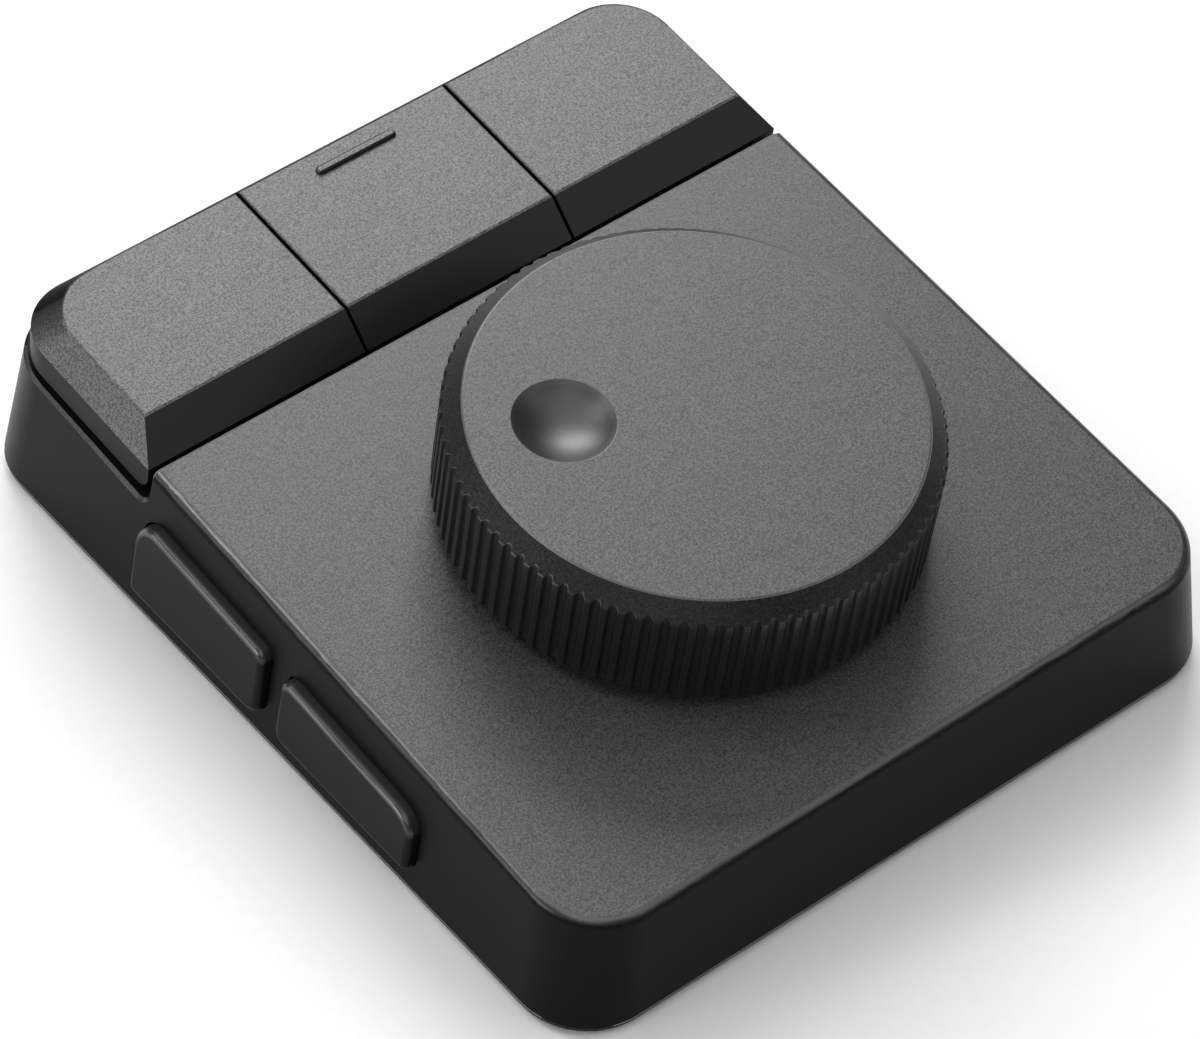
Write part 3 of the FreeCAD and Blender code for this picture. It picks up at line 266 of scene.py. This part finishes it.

# The keys' slopes turn matte and are painted dark towards the rear: painted shade over the blasted grain.
KEY_TEX = blasted("key_blasted", 0.094, dark=0.010, depth_mm=0.014, matte=0.48)
KEY_SLOPE_SHADE_TEX = blasted("key_slope_blasted", 0.094, dark=0.010, depth_mm=0.014, matte=0.48)
fade(KEY_SLOPE_SHADE_TEX, "Y", 0.05, 0.50, gloss=0.01, value=0.003)
KEY_SATIN = satin("key_satin", 0.0040, 0.0055, 0.36, 0.002, 0.07)
KEY_FRONT_SATIN = satin("key_front_satin", 0.0050, 0.0065, 0.34, 0.002, 0.30)

DIAL_TOP_TEX = blasted("dial_blasted", 0.071, dark=0.021, specular=0.90, matte=0.54)
# The bevel round the dial's flat top is painted paler than the top: a painted highlight over the blasted
# grain.
DIAL_RIM_HIGHLIGHT_TEX = blasted("dial_rim_blasted_painted_highlight", 0.11, dark=0.05, rough=0.36, depth_mm=0.006, matte=0.8,
                       spread=0.05)
DIAL_SLOPE_TEX = blasted("dial_slope_blasted", 0.022, dark=0.008, rough=0.38, depth_mm=0.005,
                         specular=0.25, matte=0.16, spread=0.03)
DIAL_SATIN = satin("dial_satin", 0.0055, 0.0075, 0.32, 0.003, 0.45, grain_mm=0.16, spread=0.04)
DIMPLE_SATIN = grained("dimple_satin", 0.002, 0.008, 0.45, GRAIN_MM, 0.003, specular=1.0, spread=0.04,
                       contrast=SPECK_CONTRAST)

# A side button's rounded edge is glossier and painted paler where it looks up, a painted highlight, and less
# so where it is level.
BUTTON_SATIN = satin("side_button_satin", 0.0055, 0.0065, 0.33, 0.001, 0.09, spread=0.02)
BUTTON_EDGE_HIGHLIGHT_SATIN = grained("side_button_edge_satin", 0.020, 0.026, 0.24, SATIN_GRAIN_MM, 0.001,
                            specular=1.0, spread=0.02, matte=0.9)
fade(BUTTON_EDGE_HIGHLIGHT_SATIN, "Z", 0.50, 0.14, gloss=0.09, value=0.006, rough=0.33)
fade(BUTTON_EDGE_HIGHLIGHT_SATIN, "Z", 0.75, 0.97, gloss=0.30, value=0.020, rough=0.45)

# The pieces inside and below.
COVER_SATIN = grained("cover_satin", 0.005, 0.007, 0.42, 0.2, 0.004, specular=0.3)
PAD_RUBBER = grained("pad_rubber", 0.006, 0.010, 0.75, 0.25, 0.02, specular=0.25)
STEEL = grained("screw_steel", 0.30, 0.38, 0.34, 0.2, 0.004, metallic=1.0, spread=0.08)
BRASS = grained("shaft_brass", 0.42, 0.5, 0.3, 0.2, 0.003, metallic=1.0, warm=0.3)
ZINC = grained("ballast_zinc", 0.36, 0.44, 0.42, 0.5, 0.01, metallic=1.0, spread=0.08)
BOARD = grained("board_mask", 0.02, 0.035, 0.35, 0.4, 0.004)
BLACK_PLASTIC = grained("moulded_black", 0.010, 0.014, 0.42, 0.15, 0.004, specular=0.35)
IVORY = grained("moulded_pale", 0.32, 0.38, 0.45, 0.15, 0.004, warm=0.05)
WRAP = grained("battery_wrap", 0.05, 0.07, 0.4, 0.6, 0.01)

SLOT_MATERIALS = {
    "housing_plastic": WALL_SATIN, "key_plastic": KEY_SATIN, "dial_metal": DIAL_SATIN,
    "hub_plastic": BLACK_PLASTIC, "base_plastic": COVER_SATIN, "pad_rubber": PAD_RUBBER,
    "steel": STEEL, "brass": BRASS, "zinc": ZINC, "circuit_board": BOARD,
    "switch_plastic": BLACK_PLASTIC, "tip_plastic": IVORY, "battery_wrap": WRAP,
    "connector_plastic": IVORY}

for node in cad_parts.values():
    for slot in node.material_slots:
        slot.material = SLOT_MATERIALS[slot.material.name.split(".")[0]]


# ---------------------------------------------------------------- meshes

def new_object(name, data):
    made = bpy.data.objects.new(name, data)
    bpy.context.scene.collection.objects.link(made)
    return made


def crisp_borders(bm):
    """An edge where the finish changes keeps both faces' own shading."""
    for edge in bm.edges:
        if len({face.material_index for face in edge.link_faces}) > 1:
            edge.smooth = False


def finish_mesh(obj, sharp_degrees=40.0, crisp=True):
    """Smooth shading whose flat faces stay flat, and with crisp a clear border where the finish changes."""
    mesh = obj.data
    mesh.shade_smooth()
    mesh.set_sharp_from_angle(angle=math.radians(sharp_degrees))
    if crisp:
        bm = bmesh.new()
        bm.from_mesh(mesh)
        crisp_borders(bm)
        bm.to_mesh(mesh)
        bm.free()
    weighted = obj.modifiers.new("weighted", "WEIGHTED_NORMAL")
    weighted.keep_sharp = True
    weighted.weight = 100


def copy_of(node, name, materials):
    """A new mesh with a CAD node's shape, its flat faces joined, ready for rounding."""
    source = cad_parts[node].data
    mesh = bpy.data.meshes.new(name)
    points = [vert.co.copy() for vert in source.vertices]
    mesh.from_pydata(points, [], [tuple(face.vertices) for face in source.polygons])
    for material in materials:
        mesh.materials.append(material)
    bm = bmesh.new()
    bm.from_mesh(mesh)
    bmesh.ops.remove_doubles(bm, verts=bm.verts, dist=JOIN_MM * MM)
    bmesh.ops.dissolve_limit(bm, angle_limit=math.radians(FLAT_DEGREES), verts=bm.verts, edges=bm.edges,
                             use_dissolve_boundaries=False, delimit=set())
    return mesh, bm


def sharp_edges(bm, degrees):
    return [edge for edge in bm.edges
            if len(edge.link_faces) == 2 and edge.calc_face_angle(0.0) > math.radians(degrees)]


def rounded_copy(node, name, body, materials, finish, width_mm, segments, degrees, choose=None,
                 reshape=None, crisp=True):
    """A dressed copy of a CAD node, with its sharp edges, or the chosen ones, rounded."""
    mesh, bm = copy_of(node, name, materials)
    if reshape is not None:
        reshape(bm)
        bm.normal_update()
    edges = [edge for edge in sharp_edges(bm, degrees) if choose is None or choose(edge)]
    bmesh.ops.bevel(bm, geom=edges, offset=width_mm * MM, offset_type="OFFSET", segments=segments,
                    profile=0.5, affect="EDGES", clamp_overlap=False, material=-1)
    bm.normal_update()
    for face in bm.faces:
        face.material_index = finish(face)
    bm.to_mesh(mesh)
    bm.free()
    made = new_object(name, mesh)
    finish_mesh(made, crisp=crisp)
    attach(made, body)
    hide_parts(node)


# ---------------------------------------------------------------- keys

def key_finish(face):
    """The top and the side slopes are blasted, the slopes with painted shade towards the rear; the front,
    the rear and the skirts are smooth.
    """
    up, back = face.normal.dot(DECK_NORMAL), face.normal.dot(DECK_Y)
    if up > KEY_TOP_UP:
        return KEY_TOP
    if up < KEY_SKIRT_UP:
        return KEY_SKIRT
    return KEY_FRONT if back < -LOOKS_BACK else KEY_SLOPE


for side in ("left", "middle", "right"):
    rounded_copy("key_" + side, "keycap_" + side, "key_" + side,
                 [KEY_SATIN, KEY_TEX, KEY_FRONT_SATIN, KEY_SLOPE_SHADE_TEX], key_finish,
                 width_mm=0.05, segments=2, degrees=25.0)


# ---------------------------------------------------------------- dial

def flute_profile():
    """One flute and half a ridge on each side: (distance across, depth) from left to right."""
    half_mouth = math.sqrt(FLUTE_R ** 2 - FLUTE_OUT ** 2)
    pitch = 2 * math.pi * DIAL_R / FLUTES
    side = [(pitch / 2, 0.0)] + [(half_mouth + out, depth) for out, depth in RIDGE_ROUNDING]
    for degrees in FLUTE_DEGREES:
        a = math.radians(degrees)
        side.append((FLUTE_R * math.sin(a), FLUTE_R * math.cos(a) - FLUTE_OUT))
    middle = [(0.0, FLUTE_R - FLUTE_OUT)]
    return [(-a, d) for a, d in side] + middle + [(a, d) for a, d in reversed(side[1:])]


def chamfer_height(radius):
    """The height at which the chamfer passes a radius."""
    return DIAL_TOP - DIAL_CHAMFER_DROP + (DIAL_R - radius) * CHAMFER_SLOPE


def wall_rows(radius):
    """The (radius, height) rows of the dial's wall at one angle, with its turn into the chamfer."""
    rows = [(radius - inwards, DIAL_FOOT + up) for inwards, up in DIAL_FOOT_ROUNDING]
    turn = [(radius - inwards, chamfer_height(radius) + up) for inwards, up in DIAL_TURN_ROUNDING]
    low, high = rows[-1][1], turn[0][1]
    rows += [(radius, low + (high - low) * k / WALL_STEPS) for k in range(1, WALL_STEPS)]
    return rows + turn


def chamfer_rows(radius):
    """The rows of the chamfer at one angle, up to the bevel of the flat top."""
    start_r, start_z = radius - CHAMFER_FROM, chamfer_height(radius) + CHAMFER_FROM * CHAMFER_SLOPE
    rim_r, rim_z = DIAL_FLAT_R + DIAL_BEVEL, DIAL_TOP - DIAL_BEVEL
    shares = [k / CHAMFER_STEPS for k in range(CHAMFER_STEPS)]
    return [(start_r + (rim_r - start_r) * t, start_z + (rim_z - start_z) * t) for t in shares]


def bevel_rows():
    """The rows of the bevel between the chamfer and the flat top."""
    rows = []
    for k in range(BEVEL_STEPS + 1):
        t = k / BEVEL_STEPS * math.pi / 2
        rows.append((DIAL_FLAT_R + DIAL_BEVEL * math.cos(t) ** BEVEL_POWER,
                     DIAL_TOP - DIAL_BEVEL + DIAL_BEVEL * math.sin(t) ** BEVEL_POWER))
    return rows


def bridge(bm, lower, upper, number):
    """Joins two closed rings of as many points by faces of one material."""
    for i in range(len(lower)):
        j = (i + 1) % len(lower)
        bm.faces.new((lower[i], lower[j], upper[j], upper[i])).material_index = number


def closed_edges(bm, ring):
    return [bm.edges.get((ring[i], ring[(i + 1) % len(ring)])) for i in range(len(ring))]


def dimple_profile():
    """The (radius, depth) points of the finger dimple, a part of a ball under a small rounded rim."""
    ball = (DIMPLE_R ** 2 + DIMPLE_DEPTH ** 2) / (2 * DIMPLE_DEPTH)
    edge = math.asin(DIMPLE_R / ball)
    profile = [(DIMPLE_R + outwards, up) for outwards, up in DIMPLE_RIM]
    for k in range(1, DIMPLE_RINGS):
        a = edge * (1 - k / DIMPLE_RINGS)
        profile.append((ball * math.sin(a) * DIMPLE_BOWL_R / DIMPLE_R,
                        ball - DIMPLE_DEPTH - ball * math.cos(a)))
    return profile


def dimple_rings(bm):
    """The dimple's rings of points, from its rim to its middle."""
    turn = math.radians(DIMPLE_ANGLE)
    x, y = DIMPLE_FROM_AXIS * math.cos(turn), DIMPLE_FROM_AXIS * math.sin(turn)
    around = [2 * math.pi * i / DIMPLE_STEPS for i in range(DIMPLE_STEPS)]
    return [[bm.verts.new(deck_point(x + r * math.cos(a), y + r * math.sin(a), DIAL_TOP + z))
             for a in around] for r, z in dimple_profile()]


def fluted_rings(bm):
    """The dial's rings of points, from under its roof down the bore and up the fluted wall to the top."""
    section = flute_profile()
    bore = [(DIAL_R - DIAL_WALL, DIAL_TOP - DIAL_ROOF), (DIAL_R - DIAL_WALL, DIAL_FOOT)]
    columns = []
    for flute in range(FLUTES):
        for across, depth in section:
            turn = 2 * math.pi * flute / FLUTES + across / DIAL_R
            radius = DIAL_R - depth
            rows = bore + wall_rows(radius) + chamfer_rows(radius) + bevel_rows()
            columns.append([bm.verts.new(deck_point(r * math.cos(turn), r * math.sin(turn), z))
                            for r, z in rows])
    return list(zip(*columns))


def dial_row_finish(row, rows):
    """The material between a ring and the next one, by the ring's place from the top."""
    below_top = rows - 1 - row
    if below_top <= BEVEL_STEPS:
        return DIAL_EDGE
    return DIAL_SLOPE if below_top <= BEVEL_STEPS + CHAMFER_STEPS else DIAL_SIDE


def dial_mesh():
    """The dial: a fluted wall with its chamfer and bevel, and a flat top round the finger dimple."""
    bm = bmesh.new()
    rings = fluted_rings(bm)
    for row, (lower, upper) in enumerate(zip(rings, rings[1:])):
        bridge(bm, lower, upper, dial_row_finish(row, len(rings)))
    bm.faces.new(list(reversed(rings[0]))).material_index = DIAL_SIDE
    bowl = dimple_rings(bm)
    for outer, inner in zip(bowl, bowl[1:]):
        bridge(bm, outer, inner, DIAL_BOWL)
    bm.faces.new(bowl[-1]).material_index = DIAL_BOWL
    filled = bmesh.ops.triangle_fill(bm, use_beauty=True, use_dissolve=False, normal=DECK_NORMAL,
                                     edges=closed_edges(bm, rings[-1]) + closed_edges(bm, bowl[0]))
    for item in filled["geom"]:
        if isinstance(item, bmesh.types.BMFace):
            item.material_index = DIAL_FLAT
    bmesh.ops.recalc_face_normals(bm, faces=bm.faces)
    mesh = bpy.data.meshes.new("dial_cap")
    bm.to_mesh(mesh)
    bm.free()
    for material in (DIAL_TOP_TEX, DIAL_SATIN, DIAL_SLOPE_TEX, DIAL_RIM_HIGHLIGHT_TEX, DIMPLE_SATIN):
        mesh.materials.append(material)
    return mesh


dial = new_object("dial_cap", dial_mesh())
finish_mesh(dial, sharp_degrees=50.0)
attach(dial, "dial")
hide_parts("dial_knob")


# ---------------------------------------------------------------- housing and side buttons

def outside(qx, qy, radius):
    """How far a point (qx, qy) beyond a rounded corner's centre lies outside the corner."""
    return math.hypot(max(qx, 0), max(qy, 0)) + min(max(qx, qy), 0) - radius


def outside_body(point):
    """How far a point lies outside the body's outline at its foot, in millimetres."""
    return outside(abs(point.x) / MM - BODY_HALF_X + BODY_CORNER_R,
                   abs(point.y) / MM - BODY_HALF_Y + BODY_CORNER_R, BODY_CORNER_R)


def outside_button(place, y, z):
    """How far a point lies outside a side button's outline in the solids, in millimetres."""
    y0, y1 = BUTTON_SPANS[place]
    outer_side = (y > (y0 + y1) / 2) == (place == "rear")
    r = BUTTON_OUTER_R if outer_side else BUTTON_INNER_R
    return outside(abs(y - (y0 + y1) / 2) - (y1 - y0) / 2 + r,
                   abs(z - (BUTTON_LOW + BUTTON_HIGH) / 2) - (BUTTON_HIGH - BUTTON_LOW) / 2 + r, r)


def slid(place, y, z):
    """Where a point of that outline goes: an upright outer end, and an upper edge along the deck."""
    y0, y1 = BUTTON_SPANS[place]
    out, end, inner = (1, y1, y0) if place == "rear" else (-1, y0, y1)
    upper = z > (BUTTON_LOW + BUTTON_HIGH) / 2
    r = BUTTON_TOP_R if upper else BUTTON_LOW_R
    old_y, new_y = end - out * BUTTON_OUTER_R, end - out * r
    old_z = BUTTON_HIGH - BUTTON_OUTER_R if upper else BUTTON_LOW + BUTTON_OUTER_R
    new_z = BUTTON_HIGH - r if upper else BUTTON_LOW + r
    beyond, above = (y - old_y) * out, (z - old_z) * (1 if upper else -1)
    if beyond <= 0:
        y = inner + (y - inner) * (new_y - inner) / (old_y - inner)
    elif above <= 0:
        z = new_z
    else:
        away = math.hypot(y - old_y, z - old_z)
        scale = max(away - BUTTON_OUTER_R + r, 0.0) / away
        y, z = new_y + (y - old_y) * scale, new_z + (z - old_z) * scale
    top = BUTTON_TOP_AT_ZERO + BUTTON_TOP_SLOPE * y
    return y, BUTTON_LOW + (z - BUTTON_LOW) * (top - BUTTON_LOW) / (BUTTON_HIGH - BUTTON_LOW)


def slide_outlines(bm):
    """Slides the outlines of the side buttons, or of their openings, along the leaning wall."""
    nearest, furthest = BUTTON_REACH
    for vert in bm.verts:
        x, y, z = (c / MM for c in vert.co)
        for place in BUTTON_SPANS:
            if x < BUTTON_X_LIMIT and nearest < outside_button(place, y, z) < furthest:
                new_y, new_z = slid(place, y, z)
                vert.co = Vector((x + (new_z - z) * WALL_DRAFT, new_y, new_z)) * MM


def housing_finish(face):
    """The deck, the rounding of its rim and the lips of the bay are blasted, the rear lip and a band over
    the foot are painted pale as painted highlights, and the wall is satin.
    """
    middle = face.calc_center_median()
    above = (middle - DECK_ORIGIN).dot(DECK_NORMAL) / MM
    up, back = face.normal.dot(DECK_NORMAL), face.normal.dot(DECK_Y)
    if above > -DECK_RIM_R:
        # The rear lip gets the pale painted highlight.
        if back > LOOKS_BACK and REAR_LIP_Y[0] < middle.y / MM < REAR_LIP_Y[1]:
            return REAR_LIP
        return DECK if up > LOOKS_UP else WALL
    if up > LOOKS_UP and above > -BAY_LIP_DEPTH and outside_body(middle) > -BAY_LIP_WIDTH:
        return BAY_LIP
    # A band over the wall's foot gets the pale painted highlight.
    over_foot = FOOT_BAND[0] < middle.z / MM - FOOT_EDGE_Z < FOOT_BAND[1]
    return FOOT if over_foot and outside_body(middle) > -FOOT_BAND_DEEP and up > LOOKS_DOWN else WALL


def at_foot(edge):
    """The wall's lower outer edge, which is rounded."""
    return all(abs(vert.co.z / MM - FOOT_EDGE_Z) < FOOT_EDGE_NEAR and outside_body(vert.co) > -FOOT_EDGE_DEEP
               for vert in edge.verts)


def button_finish(face):
    """A side button's flat outer face has its own finish, and its rounded edge and sides another, painted
    paler where it looks up as a painted highlight.
    """
    return BUTTON_FACE if face.normal.dot(WALL_NORMAL) > BUTTON_FACE_OUT else BUTTON_SIDE


rounded_copy("upper_housing", "housing_shell", "base",
             [WALL_SATIN, DECK_TEX, BAY_LIP_TEX, REAR_LIP_HIGHLIGHT_TEX, FOOT_HIGHLIGHT_SATIN], housing_finish,
             width_mm=FOOT_EDGE_WIDTH, segments=4, degrees=28.0, choose=at_foot, reshape=slide_outlines)
for place in BUTTON_SPANS:
    rounded_copy("side_button_" + place, "side_cap_" + place, "side_" + place,
                 [BUTTON_SATIN, BUTTON_EDGE_HIGHLIGHT_SATIN], button_finish,
                 width_mm=BUTTON_ROUNDING, segments=5, degrees=25.0, reshape=slide_outlines, crisp=False)


# ---------------------------------------------------------------- stage, lights and camera

def floor():
    """White paper under the object."""
    mesh = bpy.data.meshes.new("floor")
    corners = [(-FLOOR_HALF, -FLOOR_HALF, 0), (FLOOR_HALF, -FLOOR_HALF, 0),
               (FLOOR_HALF, FLOOR_HALF, 0), (-FLOOR_HALF, FLOOR_HALF, 0)]
    mesh.from_pydata(corners, [], [(0, 1, 2, 3)])
    made, tree, shader, coords = new_material("floor_paper", 0.0, 0.2)
    grain = noise(tree, coords, 1.5, 2.0)
    link(tree, blend_colors(tree, grain, grey(0.88), grey(0.91)), shader.inputs["Base Color"])
    shader.inputs["Roughness"].default_value = 0.9
    mesh.materials.append(made)
    new_object("floor", mesh)


floor()


def softbox(name, towards, distance, size, watts):
    """A lamp with a rectangular face, in a direction seen from the object, that looks at it."""
    light = bpy.data.lights.new(name, "AREA")
    light.shape = "RECTANGLE"
    light.size, light.size_y = size
    light.energy = watts
    made = new_object(name, light)
    direction = Vector(towards).normalized()
    made.location = LIGHTS_AIM + direction * distance
    made.rotation_euler = direction.to_track_quat("Z", "Y").to_euler()


# The strongest lamps stand behind to the right and overhead; the others fill in the front and the left.
softbox("key_softbox", (0.35, 0.60, 0.55), 0.65, (0.40, 0.30), 3.55)
softbox("top_softbox", (0.001, 0.0, 1.0), 1.10, (1.20, 1.20), 5.5)
softbox("edge_softbox", (-0.43, 0.49, 0.78), 0.70, (0.22, 0.22), 1.0)
softbox("rim_softbox", (-0.85, 0.50, 0.25), 0.70, (0.30, 0.30), 0.6)
softbox("side_softbox", (-0.95, 0.10, 0.30), 0.70, (0.30, 0.30), 1.2)
softbox("fill_softbox", (-0.45, -0.48, 0.75), 0.90, (0.60, 0.60), 1.2)
softbox("front_softbox", (0.45, -0.65, 0.65), 0.80, (0.50, 0.50), 0.8)


def studio_world():
    """White paper round the horizon that darkens towards the ceiling."""
    world = bpy.data.worlds.new("studio")
    bpy.context.scene.world = world
    world.use_nodes = True
    tree = world.node_tree
    coords = tree.nodes.new("ShaderNodeTexCoord").outputs["Generated"]
    parts = tree.nodes.new("ShaderNodeSeparateXYZ")
    link(tree, coords, parts.inputs["Vector"])
    height = ramp(tree, parts.outputs["Z"], 0.05, 0.35)
    link(tree, blend_colors(tree, height, grey(0.31), grey(0.02)), tree.nodes["Background"].inputs["Color"])
    tree.nodes["Background"].inputs["Strength"].default_value = 1.0


studio_world()
bpy.context.scene.view_settings.view_transform = "Standard"


def look(place, azimuth, elevation, roll):
    """Where the camera stands and how it is turned."""
    forward = Vector((math.sin(azimuth) * math.cos(elevation), math.cos(azimuth) * math.cos(elevation),
                      -math.sin(elevation)))
    right = Vector((math.cos(azimuth), -math.sin(azimuth), 0.0))
    down = forward.cross(right)
    rolled_right = right * math.cos(roll) + down * math.sin(roll)
    rolled_down = down * math.cos(roll) - right * math.sin(roll)
    turn = Matrix((rolled_right, -rolled_down, -forward)).transposed()
    return Matrix.Translation(place) @ turn.to_4x4()


camera_data = bpy.data.cameras.new("camera")
camera_data.sensor_fit = "HORIZONTAL"
camera_data.sensor_width = SENSOR_MM
camera_data.lens = SENSOR_MM * FOCAL_PX / FRAME_W
camera_data.shift_x, camera_data.shift_y = (c / FRAME_W for c in CENTRE_PX)
camera_data.clip_start = 0.01
camera = new_object("camera", camera_data)
camera.matrix_world = look(CAM_PLACE, CAM_AZ, CAM_EL, CAM_ROLL)
bpy.context.scene.camera = camera
